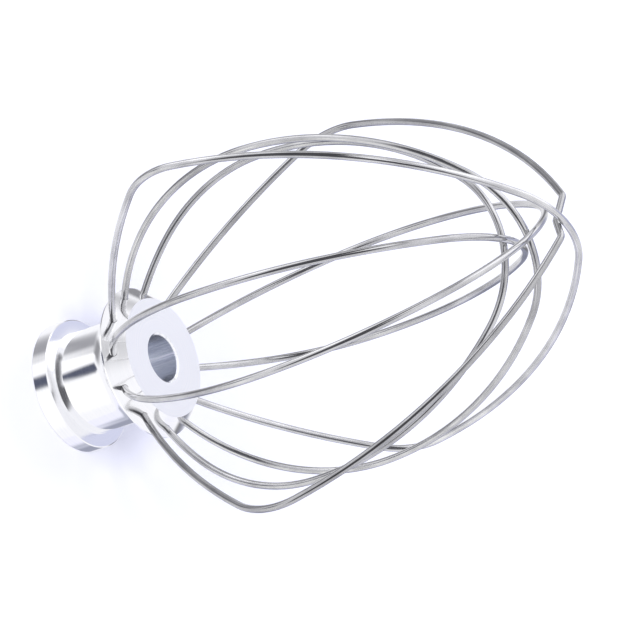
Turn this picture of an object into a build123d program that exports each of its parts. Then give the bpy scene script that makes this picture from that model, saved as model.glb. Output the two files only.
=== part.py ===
from build123d import *
import os
from collections import namedtuple
from math import acos, asin, atan2, cos, degrees, radians, sin

# Whisk attachment for a stand mixer: a turned aluminium hub with six bent wire loops.
# Z runs along the hub from the collar end, where the shaft enters, to the tip of the cage.
# The origin is the middle of the collar's end face. Lengths in millimetres, angles in degrees.

# Turned hub
bore_diameter = 12.8
bore_chamfer = 0.5
hub_length = 30.4
collar_diameter = 35.6
collar_thickness = 4.8
collar_chamfer = 0.25
neck_diameter = 28.0
neck_fillet = 0.2
flare_radius = 7.4
rim_diameter = 41.2
rim_land = 0.4
face_diameter = 32.8
cone_height = 5.0

# Bayonet slot for the drive pin of the mixer shaft
pin_slot_width = 4.8
pin_slot_depth = 14.5
pin_slot_azimuth = -90.0
pin_lock_turn = 36.0

# Wire and its seats in the hub's front cone
wire_diameter = 1.9
seat_clearance = 0.05
seat_depth = 6.5
seat_face_distance = 2.8
leave_angle = 57.5

# Cage: tip of the outermost loop above the hub's face, and the steps down to the pairs inside it
cage_height = 124.8
middle_step = 9.0
inner_step = 7.1
crossing_gap = 0.1

# Outer pair of loops: one with a round tip, one notched to pass under it
outer_half_width = 61.7
outer_root_turn = 18.0
outer_shoulder_radius = 19.5
outer_shoulder_turn = 50.0
outer_tip_radius = 24.5
notched_root_turn = 20.0
notched_shoulder_radius = 21.0
notched_shoulder_turn = 52.0
notch_bend_radius = 2.0

# Sides of the notched loop, whose notch is bent off centre: a long flat ramp, and a short steep one
# that slides on under the crossed wire before the notch's saddle
long_side_half_width = 63.1
long_ramp_span = 8.7
long_ramp_slope = 8.0
short_side_half_width = 64.1
short_ramp_span = 4.6
short_ramp_slope = 20.0
short_ramp_slide = 1.5

# Middle pair of loops
middle_over_half_width = 50.7
middle_over_tip_radius = 41.5
middle_under_half_width = 45.4
middle_under_tip_radius = 29.0
middle_root_turn = 35.5
middle_shoulder_radius = 60.0
middle_shoulder_turn = 24.5

# Inner pair of loops
inner_half_width = 44.1
inner_root_turn = 12.5
inner_shoulder_radius = 46.5
inner_shoulder_turn = 45.0
inner_tip_radius = 28.0

# Place of each loop, counted in steps round the hub from the X axis
loop_places = {
    "wire_outer_over": 3,
    "wire_outer_notched": 0,
    "wire_middle_over": 5,
    "wire_middle_under": 2,
    "wire_inner_over": 4,
    "wire_inner_under": 1,
}

bore_radius = bore_diameter / 2
collar_radius = collar_diameter / 2
neck_radius = neck_diameter / 2
rim_radius = rim_diameter / 2
face_radius = face_diameter / 2
wire_radius = wire_diameter / 2
rim_z = hub_length - cone_height
loop_spacing = 180 / len(loop_places)
tip_heading = -90
crossing_distance = wire_diameter + crossing_gap

# Middle of a wire's seat, on the cone
seat_z = hub_length - seat_face_distance
seat_radius = face_radius + (rim_radius - face_radius) * seat_face_distance / cone_height


def turned_body():
    """Spool of collar, neck, concave flare and front cone, with the bore through it."""
    flare_turn = acos(1 - (rim_radius - neck_radius) / flare_radius)
    flare_z = rim_z - rim_land - flare_radius * sin(flare_turn)
    collar = Polyline(
        (bore_radius + bore_chamfer, 0),
        (collar_radius - collar_chamfer, 0),
        (collar_radius, collar_chamfer),
        (collar_radius, collar_thickness - collar_chamfer),
        (collar_radius - collar_chamfer, collar_thickness),
        (neck_radius + neck_fillet, collar_thickness),
    )
    fillet_centre = (neck_radius + neck_fillet, collar_thickness + neck_fillet)
    corner = CenterArc(fillet_centre, neck_fillet, -90, -90)
    neck = Line(corner @ 1, (neck_radius, flare_z))
    flare_centre = (neck_radius + flare_radius, flare_z)
    flare = CenterArc(flare_centre, flare_radius, 180, -degrees(flare_turn))
    front = Polyline(
        flare @ 1,
        (rim_radius, rim_z),
        (face_radius, hub_length),
        (bore_radius + bore_chamfer, hub_length),
        (bore_radius, hub_length - bore_chamfer),
        (bore_radius, bore_chamfer),
        collar @ 0,
    )
    outline = collar + corner + neck + flare + front
    return revolve(Plane.XZ * make_face(outline), Axis.Z)


def pin_slot():
    """L-shaped cut: an entry from the collar end and a leg round the neck that locks the pin."""
    reach = collar_diameter
    entry = Pos(reach / 2, 0, pin_slot_depth / 2) * Box(reach, pin_slot_width, pin_slot_depth)
    leg_z = pin_slot_depth - pin_slot_width / 2
    leg_section = Plane.XZ * Pos(reach / 2, leg_z) * Rectangle(reach, pin_slot_width)
    half_entry_turn = degrees(asin(pin_slot_width / bore_diameter))
    leg = revolve(leg_section, Axis.Z, half_entry_turn + pin_lock_turn)
    return Rot(0, 0, pin_slot_azimuth) * (entry + leg)


def seat_hole(azimuth):
    """Blind hole for one wire end, drilled into the cone along the wire."""
    overshoot = wire_diameter
    mouth = Rot(0, 0, azimuth) * Pos(seat_radius, 0, seat_z) * Rot(0, leave_angle, 0)
    length = seat_depth + overshoot
    drill = Pos(0, 0, overshoot - length / 2) * Cylinder(wire_radius + seat_clearance, length)
    return mouth * drill


def hub():
    body = turned_body() - pin_slot()
    for place in range(2 * len(loop_places)):
        body -= seat_hole(place * loop_spacing)
    return body


# A loop is drawn in its own plane, X outwards and Y along the axis. A heading is the angle from
# the axis outwards, and each turn is to the left, towards the tip and down the other side.
Run = namedtuple("Run", "length")
Bend = namedtuple("Bend", "radius turn")


def direction(heading):
    return Vector(sin(radians(heading)), cos(radians(heading)))


def left_of(heading):
    return Vector(-cos(radians(heading)), sin(radians(heading)))


def bend_travel(radius, start_heading, end_heading):
    """Way from the start to the end of an arc."""
    return radius * (left_of(start_heading) - left_of(end_heading))


def wire_loop(azimuth, half, middle, other_half):
    """Wire swept through one half's steps, the step across the axis, and the other half backwards."""
    tangent = direction(leave_angle)
    end_clearance = seat_clearance
    seated = Run(seat_depth - end_clearance)
    point = Vector(seat_radius, seat_z) - seated.length * tangent
    edges = []
    for step in [seated, *half, middle, *reversed(other_half), seated]:
        if isinstance(step, Run):
            edge = Line(point, point + step.length * tangent)
        else:
            edge = JernArc(point, tangent, step.radius, step.turn)
        edges.append(edge)
        point = edge @ 1
        tangent = edge % 1
    path = Wire(edges)
    section = Plane(path @ 0, z_dir=path % 0) * Circle(wire_radius)
    return Rot(0, 0, azimuth) * Rot(90, 0, 0) * sweep(section, path)


def side_bends(half_width, root_turn, shoulder_radius, shoulder_turn, end_centre, end_radius):
    """Root, shoulder and flank arcs, out to the half width and into the circle that ends the side."""
    shoulder_start = leave_angle - root_turn
    shoulder_end = shoulder_start - shoulder_turn
    shoulder_reach = bend_travel(shoulder_radius, shoulder_start, 0).X
    root_reach = half_width - seat_radius - shoulder_reach
    root_radius = root_reach / bend_travel(1, leave_angle, shoulder_start).X
    flank_start = (
        Vector(seat_radius, seat_z)
        + bend_travel(root_radius, leave_angle, shoulder_start)
        + bend_travel(shoulder_radius, shoulder_start, shoulder_end)
    )
    # The flank's circle holds the end circle and touches it from inside.
    inward = left_of(shoulder_end)
    offset = flank_start - end_centre
    flank_radius = (end_radius**2 - offset.dot(offset)) / (2 * (offset.dot(inward) + end_radius))
    outward = end_centre - (flank_start + flank_radius * inward)
    flank_end = degrees(atan2(-outward.Y, outward.X))
    bends = [
        Bend(root_radius, root_turn),
        Bend(shoulder_radius, shoulder_turn),
        Bend(flank_radius, shoulder_end - flank_end),
    ]
    return bends, flank_end


def round_loop(azimuth, tip_z, tip_radius, half_width, *shoulder):
    """Loop that closes in one arc over its tip."""
    tip_centre = Vector(0, tip_z - tip_radius)
    half, flank_end = side_bends(half_width, *shoulder, tip_centre, tip_radius)
    return wire_loop(azimuth, half, Bend(tip_radius, 2 * (flank_end - tip_heading)), half)


def notched_side(saddle_centre, span, slope, half_width, *shoulder):
    """Steps of one side up to its kink at the span, and down the ramp to the saddle."""
    ramp_heading = tip_heading - slope
    up_ramp = -direction(ramp_heading)
    below_ramp = left_of(ramp_heading)
    saddle_end = saddle_centre + crossing_distance * below_ramp
    ramp_length = (span - saddle_end.X - notch_bend_radius * below_ramp.X) / up_ramp.X
    bend_centre = saddle_end + ramp_length * up_ramp + notch_bend_radius * below_ramp
    bends, flank_end = side_bends(half_width, *shoulder, bend_centre, notch_bend_radius)
    return bends + [Bend(notch_bend_radius, flank_end - ramp_heading), Run(ramp_length)]


def notched_loop(azimuth, crossed_z, *shoulder):
    """Loop that is kinked at its tip, to dip under the loop that crosses it at crossed_z."""
    slide = short_ramp_slide * direction(tip_heading - short_ramp_slope)
    short_saddle = Vector(slide.X, crossed_z + slide.Y)
    long_saddle = Vector(-slide.X, crossed_z + slide.Y)
    long_side = notched_side(long_saddle, long_ramp_span, long_ramp_slope, long_side_half_width, *shoulder)
    short_side = notched_side(
        short_saddle, short_ramp_span, short_ramp_slope, short_side_half_width, *shoulder
    )
    saddle = Bend(crossing_distance, -long_ramp_slope - short_ramp_slope)
    return wire_loop(azimuth, long_side, saddle, short_side)


# In each pair one loop passes a wire's thickness below the other, square to it.
outer_tip = hub_length + cage_height
middle_tip = outer_tip - middle_step
inner_tip = middle_tip - inner_step
outer_shoulder = (outer_root_turn, outer_shoulder_radius, outer_shoulder_turn)
notched_shoulder = (notched_root_turn, notched_shoulder_radius, notched_shoulder_turn)
middle_shoulder = (middle_root_turn, middle_shoulder_radius, middle_shoulder_turn)
inner_shoulder = (inner_root_turn, inner_shoulder_radius, inner_shoulder_turn)
middle_over = (middle_tip, middle_over_tip_radius, middle_over_half_width)
middle_under = (middle_tip - crossing_distance, middle_under_tip_radius, middle_under_half_width)
azimuths = {name: place * loop_spacing for name, place in loop_places.items()}

nodes = {
    "hub": hub(),
    "wire_outer_over": round_loop(
        azimuths["wire_outer_over"], outer_tip, outer_tip_radius, outer_half_width, *outer_shoulder
    ),
    "wire_outer_notched": notched_loop(azimuths["wire_outer_notched"], outer_tip, *notched_shoulder),
    "wire_middle_over": round_loop(azimuths["wire_middle_over"], *middle_over, *middle_shoulder),
    "wire_middle_under": round_loop(azimuths["wire_middle_under"], *middle_under, *middle_shoulder),
    "wire_inner_over": round_loop(
        azimuths["wire_inner_over"], inner_tip, inner_tip_radius, inner_half_width, *inner_shoulder
    ),
    "wire_inner_under": round_loop(
        azimuths["wire_inner_under"],
        inner_tip - crossing_distance,
        inner_tip_radius,
        inner_half_width,
        *inner_shoulder,
    ),
}

os.makedirs("parts", exist_ok=True)
for name, solid in nodes.items():
    solid.label = name
    export_step(solid, f"parts/{name}.step")
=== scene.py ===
import math

import bpy
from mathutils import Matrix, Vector


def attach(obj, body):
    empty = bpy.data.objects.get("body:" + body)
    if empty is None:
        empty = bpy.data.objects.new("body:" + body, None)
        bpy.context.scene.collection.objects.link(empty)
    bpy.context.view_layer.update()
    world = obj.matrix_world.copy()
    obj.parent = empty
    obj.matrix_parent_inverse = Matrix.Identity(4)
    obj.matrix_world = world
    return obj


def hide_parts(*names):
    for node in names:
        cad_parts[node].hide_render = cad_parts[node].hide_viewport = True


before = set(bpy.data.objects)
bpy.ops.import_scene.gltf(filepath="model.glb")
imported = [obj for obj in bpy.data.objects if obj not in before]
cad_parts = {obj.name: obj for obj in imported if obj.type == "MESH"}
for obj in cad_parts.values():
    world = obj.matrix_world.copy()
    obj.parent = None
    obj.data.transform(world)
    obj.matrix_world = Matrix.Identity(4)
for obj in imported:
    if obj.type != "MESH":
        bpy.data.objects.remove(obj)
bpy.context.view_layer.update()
print("frame loaded with", len(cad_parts), "nodes")


# shader maths as plain expressions

class Value:
    def __init__(self, tree, socket):
        self.tree = tree
        self.socket = socket

    def node(self, kind, settings=None, inputs=None, output=0):
        return addNode(self.tree, kind, settings, inputs, output)

    def maths(self, operation, *others):
        return self.node("ShaderNodeMath", {"operation": operation}, dict(enumerate((self, *others))))

    def __add__(self, other):
        return self.maths("ADD", other)

    def __radd__(self, other):
        return self.maths("ADD", other)

    def __sub__(self, other):
        return self.maths("SUBTRACT", other)

    def __rsub__(self, other):
        return self.node("ShaderNodeMath", {"operation": "SUBTRACT"}, {0: other, 1: self})

    def __mul__(self, other):
        return self.maths("MULTIPLY", other)

    def __rmul__(self, other):
        return self.maths("MULTIPLY", other)

    def __truediv__(self, other):
        return self.maths("DIVIDE", other)

    def fade(self, start, end, low=0.0, high=1.0):
        settings = {"interpolation_type": "SMOOTHSTEP"}
        return self.node("ShaderNodeMapRange", settings, {0: self, 1: start, 2: end, 3: low, 4: high})


def addNode(tree, kind, settings=None, inputs=None, output=0):
    node = tree.nodes.new(kind)
    for name, value in (settings or {}).items():
        setattr(node, name, value)
    for key, value in (inputs or {}).items():
        if isinstance(value, Value):
            tree.links.new(value.socket, node.inputs[key])
        else:
            node.inputs[key].default_value = value
    return Value(tree, node.outputs[output]) if node.outputs else None


def mixColour(factor, first, second):
    return factor.node("ShaderNodeMix", {"data_type": "RGBA"}, {0: factor, 6: first, 7: second}, 2)


def newMaterial(name):
    material = bpy.data.materials.new(name)
    material.use_nodes = True
    material.node_tree.nodes.clear()
    return material, material.node_tree


def pickOnly(piece):
    bpy.ops.object.select_all(action="DESELECT")
    piece.select_set(True)
    bpy.context.view_layer.objects.active = piece


# copies of the solids with welded, smooth meshes

def dressedCopy(nodeName, pieceName, material, smoothAngle):
    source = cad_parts[nodeName]
    piece = bpy.data.objects.new(pieceName, source.data.copy())
    bpy.context.scene.collection.objects.link(piece)
    pickOnly(piece)
    if piece.data.has_custom_normals:
        bpy.ops.mesh.customdata_custom_splitnormals_clear()
    bpy.ops.object.mode_set(mode="EDIT")
    bpy.ops.mesh.select_all(action="SELECT")
    bpy.ops.mesh.remove_doubles(threshold=1e-6)
    bpy.ops.object.mode_set(mode="OBJECT")
    bpy.ops.object.shade_smooth_by_angle(angle=math.radians(smoothAngle))
    piece.data.materials.clear()
    piece.data.materials.append(material)
    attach(piece, "root")
    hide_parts(nodeName)
    return piece


# hub

hubLook = {
    "colour": (0.95, 0.95, 0.96, 1),
    "shade": (0.925, 0.93, 0.95, 1),
    "boreColour": (0.90, 0.92, 0.965, 1),
    "boreShade": (0.75, 0.77, 0.825, 1),
    # painted highlight: colour of a bright line along the bore
    "paintedHighlightColour": (0.90, 0.90, 0.99, 1),
    "roughness": (0.05, 0.11),
    "facedRoughness": 0.62,
    "boreRoughness": 0.24,
    "ledgeShare": 0.2,  # how far the ledge and the bore's mouth go towards the faced ends
    "boreMetalLoss": 0.08,
    # painted highlight: less metal on the bright line along the bore
    "paintedHighlightMetalLoss": 0.5,
    "boreRadius": 0.0064,
    "boreMargin": (0.0003, 0.0001),
    "mouthRadius": 0.0075,
    "mouthNormal": 0.3,
    "flatNormal": 0.99,
    "ledgeHeight": (0.002, 0.010),
    # painted highlight: angle round the axis and width of the bright line along the bore
    "paintedHighlightAngle": -40.5,
    "paintedHighlightWidth": 3.6,
    "slant": 0.6,
    "ringsPerMetre": 2600,
    "bandsPerMetre": 420,
    "cloudScale": 160.0,
    "marksPerRadian": 14,
    "marksPerMetre": 60,
    "bump": (0.03, 0.00002),
    "smoothAngle": 25,
}


def turnedAluminium(look):
    material, tree = newMaterial("turnedAluminium")
    place = addNode(tree, "ShaderNodeTexCoord", output=3)
    x = place.node("ShaderNodeSeparateXYZ", inputs={0: place}, output=0)
    y = place.node("ShaderNodeSeparateXYZ", inputs={0: place}, output=1)
    z = place.node("ShaderNodeSeparateXYZ", inputs={0: place}, output=2)
    radius = (x * x + y * y).maths("SQRT")
    # one coordinate that runs across the lathe's rings on every face
    across = look["slant"] * z - radius
    rings = across.node(
        "ShaderNodeTexNoise",
        {"noise_dimensions": "1D"},
        {"W": across * look["ringsPerMetre"], "Detail": 4.0, "Roughness": 0.6},
    )
    bands = across.node(
        "ShaderNodeTexNoise",
        {"noise_dimensions": "1D"},
        {"W": across * look["bandsPerMetre"], "Detail": 2.0},
    )
    cloud = across.node(
        "ShaderNodeTexNoise",
        inputs={"Vector": place, "Scale": look["cloudScale"], "Detail": 3.0},
    )
    # polished round the axis, matt where faced square to it, and satin in the bore
    faced = addNode(tree, "ShaderNodeAttribute", {"attribute_name": "faced"}, output=2)
    outside, inside = [look["boreRadius"] + margin for margin in look["boreMargin"]]
    inBore = radius.fade(outside, inside)
    low, high = look["roughness"]
    polish = (0.6 * bands + 0.4 * cloud).fade(0.25, 0.75, low, high)
    matt = polish + faced * (look["facedRoughness"] - polish)
    roughness = matt + inBore * (look["boreRoughness"] - matt)
    skin = mixColour(bands.fade(0.3, 0.7), look["colour"], look["shade"])
    # marks along the bore, and one bright line of painted highlight along the bore where light falls on
    # its wall
    around = y.maths("ARCTAN2", x)
    unrolled = around.node(
        "ShaderNodeCombineXYZ",
        inputs={0: around * look["marksPerRadian"], 1: z * look["marksPerMetre"]},
    )
    marks = across.node(
        "ShaderNodeTexNoise",
        {"noise_dimensions": "2D"},
        {"Vector": unrolled, "Scale": 1.0, "Detail": 3.0},
    )
    bore = mixColour(marks.fade(0.35, 0.65), look["boreShade"], look["boreColour"])
    # painted highlight: a bright line along the bore at one angle round the axis, lighter in colour and
    # less metal
    offLine = (around - math.radians(look["paintedHighlightAngle"])).maths("ABSOLUTE")
    paintedHighlightLine = offLine.fade(math.radians(look["paintedHighlightWidth"]), 0.0)
    bore = mixColour(paintedHighlightLine, bore, look["paintedHighlightColour"])
    strength, distance = look["bump"]
    bump = across.node(
        "ShaderNodeBump",
        inputs={"Strength": strength, "Distance": distance, "Height": rings},
    )
    shader = addNode(
        tree,
        "ShaderNodeBsdfPrincipled",
        inputs={
            "Base Color": mixColour(inBore, skin, bore),
            "Metallic": 1.0 - inBore * (look["boreMetalLoss"] + look["paintedHighlightMetalLoss"] * paintedHighlightLine),
            "Roughness": roughness,
            "Normal": bump,
        },
    )
    addNode(tree, "ShaderNodeOutputMaterial", inputs={"Surface": shader})
    return material


aluminium = turnedAluminium(hubLook)
turnedHub = dressedCopy("hub", "turnedHub", aluminium, hubLook["smoothAngle"])
faced = turnedHub.data.attributes.new("faced", "FLOAT", "FACE")
ledgeBottom, ledgeTop = hubLook["ledgeHeight"]
for polygon, entry in zip(turnedHub.data.polygons, faced.data):
    rise = polygon.normal.z
    isFlat = abs(rise) > hubLook["flatNormal"]
    isLedge = isFlat and ledgeBottom < polygon.center.z < ledgeTop
    isSloped = hubLook["mouthNormal"] < rise < hubLook["flatNormal"]
    isMouth = isSloped and polygon.center.xy.length < hubLook["mouthRadius"]
    entry.value = hubLook["ledgeShare"] if isMouth or isLedge else float(isFlat)
print("hub dressed")

# wire loops

wireLook = {
    "colour": (0.72, 0.72, 0.73, 1),
    "shade": (0.33, 0.33, 0.345, 1),
    "roughness": (0.04, 0.12),
    "streaksPerMetre": 2600,
    "streakScale": 110.0,
    "patchScale": 90.0,
    "bump": (0.06, 0.00003),
    "smoothAngle": 30,
    "azimuths": {
        "wire_outer_over": 90,
        "wire_outer_notched": 0,
        "wire_middle_over": 150,
        "wire_middle_under": 60,
        "wire_inner_over": 120,
        "wire_inner_under": 30,
    },
    # painted light and shade: each loop made lighter or darker by how it was lit, the loops being one
    # steel
    "paintedLightPerLoop": {
        "wire_outer_over": 1.12,
        "wire_outer_notched": 0.82,
        "wire_middle_over": 1.0,
        "wire_middle_under": 0.97,
        "wire_inner_over": 1.03,
        "wire_inner_under": 0.95,
    },
}


def drawnSteel(look):
    material, tree = newMaterial("drawnSteel")
    place = addNode(tree, "ShaderNodeTexCoord", output=3)
    across = addNode(tree, "ShaderNodeAttribute", {"attribute_name": "across"}, output=2)
    # streaks left by drawing run along the wire
    streaks = across.node(
        "ShaderNodeTexNoise",
        {"noise_dimensions": "4D"},
        {
            "Vector": place,
            "W": across * look["streaksPerMetre"],
            "Scale": look["streakScale"],
            "Detail": 4.0,
            "Roughness": 0.62,
        },
    )
    patches = across.node(
        "ShaderNodeTexNoise",
        inputs={"Vector": place, "Scale": look["patchScale"], "Detail": 3.0},
    )
    low, high = look["roughness"]
    strength, distance = look["bump"]
    bump = across.node(
        "ShaderNodeBump",
        inputs={"Strength": strength, "Distance": distance, "Height": streaks},
    )
    tone = addNode(tree, "ShaderNodeAttribute", {"attribute_name": "tone"}, output=2)
    mottle = (0.7 * streaks + 0.3 * patches).fade(0.36, 0.62)
    skin = mixColour(mottle, look["shade"], look["colour"])
    # painted light and shade: the skin scaled by each loop's lit brightness
    skinWithPaintedLight = skin.node("ShaderNodeVectorMath", {"operation": "SCALE"}, {0: skin, "Scale": tone})
    shader = addNode(
        tree,
        "ShaderNodeBsdfPrincipled",
        inputs={
            "Base Color": skinWithPaintedLight,
            "Metallic": 1.0,
            "Roughness": (0.5 * streaks + 0.5 * patches).fade(0.3, 0.7, low, high),
            "Normal": bump,
        },
    )
    addNode(tree, "ShaderNodeOutputMaterial", inputs={"Surface": shader})
    return material


steel = drawnSteel(wireLook)
for nodeName, azimuth in wireLook["azimuths"].items():
    pieceName = "loop" + "".join(word.capitalize() for word in nodeName.split("_")[1:])
    loop = dressedCopy(nodeName, pieceName, steel, wireLook["smoothAngle"])
    # distance of each point from the plane that the loop is bent in
    sine = math.sin(math.radians(azimuth))
    cosine = math.cos(math.radians(azimuth))
    across = loop.data.attributes.new("across", "FLOAT", "POINT")
    for vertex, entry in zip(loop.data.vertices, across.data):
        entry.value = cosine * vertex.co.y - sine * vertex.co.x
    # painted light and shade: one brightness for the whole loop, by how it was lit
    tone = loop.data.attributes.new("tone", "FLOAT", "POINT")
    for entry in tone.data:
        entry.value = wireLook["paintedLightPerLoop"][nodeName]
print("loops dressed")

# floor

floorLook = {
    "size": 4,
    "colour": (0.88, 0.88, 0.90, 1),
    "lift": (0.12, 0.12, 0.12, 1),
}
bpy.ops.mesh.primitive_plane_add(size=floorLook["size"], location=(0, 0, 0))
floor = bpy.context.object
floor.name = "floor"
floor.visible_glossy = False
material, tree = newMaterial("paleFloor")
diffuse = addNode(tree, "ShaderNodeBsdfDiffuse", inputs={"Color": floorLook["colour"]})
seen = addNode(tree, "ShaderNodeLightPath", output="Is Camera Ray")
lift = mixColour(seen, (0, 0, 0, 1), floorLook["lift"])
glow = addNode(tree, "ShaderNodeEmission", inputs={"Color": lift, "Strength": 1.0})
both = addNode(tree, "ShaderNodeAddShader", inputs={0: diffuse, 1: glow})
addNode(tree, "ShaderNodeOutputMaterial", inputs={"Surface": both})
floor.data.materials.append(material)

# room that the metal reflects, in degrees of bearing from the camera and of height

roomAxes = {
    "right": (0.12481, -0.55960, 0.81931),
    "up": (0.62990, 0.68270, 0.37030),
    "back": (-0.76660, 0.46990, 0.43770),
}
paper = (1.01, 1.01, 1.04, 1)
ambient = (0.50, 0.52, 0.72, 1)
backdrop = (1, 1, 1, 1)
# middle and half width of each patch; a later one lies over an earlier one
roomPatches = {
    "window": {"bearing": (86, 58), "height": (50, 23), "soft": 6, "colour": (1.6, 1.6, 1.64)},
    "windowSill": {"bearing": (50, 20), "height": (18, 26), "soft": 10, "colour": (1.15, 1.15, 1.16)},
    "farWall": {"bearing": (120, 32), "height": (6, 16), "soft": 6, "colour": (0.68, 0.70, 0.88)},
    "darkRoom": {"bearing": (-14, 25), "height": (28, 58), "soft": 6, "colour": (0.12, 0.12, 0.13)},
    "roomLamp": {"bearing": (0, 8), "height": (45, 25), "soft": 4, "colour": (1.3, 1.3, 1.32)},
    "leftDoor": {"bearing": (-111, 20), "height": (15, 13), "soft": 9, "colour": (0.32, 0.32, 0.34)},
    "leftWall": {"bearing": (-132, 25), "height": (34, 7), "soft": 9, "colour": (0.34, 0.34, 0.37)},
    "backWall": {"bearing": (-163, 34), "height": (59, 15), "soft": 11, "colour": (0.46, 0.46, 0.48)},
    "doorLight": {"bearing": (-84, 10), "height": (27, 9), "soft": 5, "colour": (1.20, 1.20, 1.21)},
    "skylight": {"bearing": (-88, 27), "height": (53, 10), "soft": 6, "colour": (1.75, 1.75, 1.78)},
    "doorEdge": {"bearing": (-72, 7), "height": (8, 8), "soft": 3.5, "colour": (0.10, 0.11, 0.16)},
    "benchLight": {"bearing": (-60, 14), "height": (-30, 26), "soft": 12, "colour": (1.20, 1.20, 1.18)},
    "benchTint": {"bearing": (180, 80), "height": (-64, 22), "soft": 8, "colour": (0.95, 0.95, 1.08)},
    "rightPost": {"bearing": (150, 9), "height": (-28, 15), "soft": 6, "colour": (0.24, 0.24, 0.26)},
    "rearPanel": {"bearing": (171, 9), "height": (18, 14), "soft": 6, "colour": (0.30, 0.30, 0.32)},
    "benchShade": {"bearing": (180, 26), "height": (-40, 18), "soft": 8, "colour": (0.35, 0.365, 0.46)},
    "hubShade": {"bearing": (-150, 30), "height": (-61, 6), "soft": 6, "colour": (0.48, 0.50, 0.60)},
}
world = bpy.data.worlds.new("studio")
bpy.context.scene.world = world
world.use_nodes = True
tree = world.node_tree
tree.nodes.clear()
direction = addNode(tree, "ShaderNodeTexCoord", output=0)


def along(axis):
    inputs = {0: direction, 1: roomAxes[axis]}
    return direction.node("ShaderNodeVectorMath", {"operation": "DOT_PRODUCT"}, inputs, 1)


bearing = along("right").maths("ARCTAN2", along("back"))
height = along("up").maths("ARCSINE")
reflected = paper
for patch in roomPatches.values():
    middle, half = [math.radians(angle) for angle in patch["bearing"]]
    level, rise = [math.radians(angle) for angle in patch["height"]]
    soft = math.radians(patch["soft"])
    aside = (bearing - middle).maths("WRAP", math.pi, -math.pi).maths("ABSOLUTE")
    away = (height - level).maths("ABSOLUTE")
    inside = aside.fade(half + soft, half - soft) * away.fade(rise + soft, rise - soft)
    reflected = mixColour(inside, reflected, (*patch["colour"], 1))
glossy = addNode(tree, "ShaderNodeLightPath", output="Is Glossy Ray")
straight = addNode(tree, "ShaderNodeLightPath", output="Is Camera Ray")
shown = mixColour(straight, mixColour(glossy, ambient, reflected), backdrop)
back = addNode(tree, "ShaderNodeBackground", inputs={"Color": shown, "Strength": 1.0})
addNode(tree, "ShaderNodeOutputWorld", inputs={"Surface": back})
print("room set")

# soft lights from the left and the right, for the shadows beside the collar

sideLights = [
    {"name": "leftLight", "from": (-0.30, 0.40, 0.85), "angle": 26, "strength": 1.75},
    {"name": "rightLight", "from": (0.52, -0.27, 0.80), "angle": 26, "strength": 0.50},
]
for light in sideLights:
    bpy.ops.object.light_add(type="SUN", location=light["from"])
    lamp = bpy.context.object
    lamp.name = light["name"]
    lamp.rotation_euler = (-Vector(light["from"])).to_track_quat("-Z", "Y").to_euler()
    lamp.data.angle = math.radians(light["angle"])
    lamp.data.energy = light["strength"]
    lamp.visible_glossy = False

# camera

photoView = {
    "location": (-0.61671, 0.58281, 0.57304),
    "rotation": (28.734, -55.016, -77.427),
    "lens": 213.525,
    "sensor": 36,
}
turns = [math.radians(angle) for angle in photoView["rotation"]]
bpy.ops.object.camera_add(location=photoView["location"], rotation=turns)
camera = bpy.context.object
camera.data.lens = photoView["lens"]
camera.data.sensor_width = photoView["sensor"]
bpy.context.scene.camera = camera
bpy.context.scene.view_settings.view_transform = "Standard"
print("camera set")
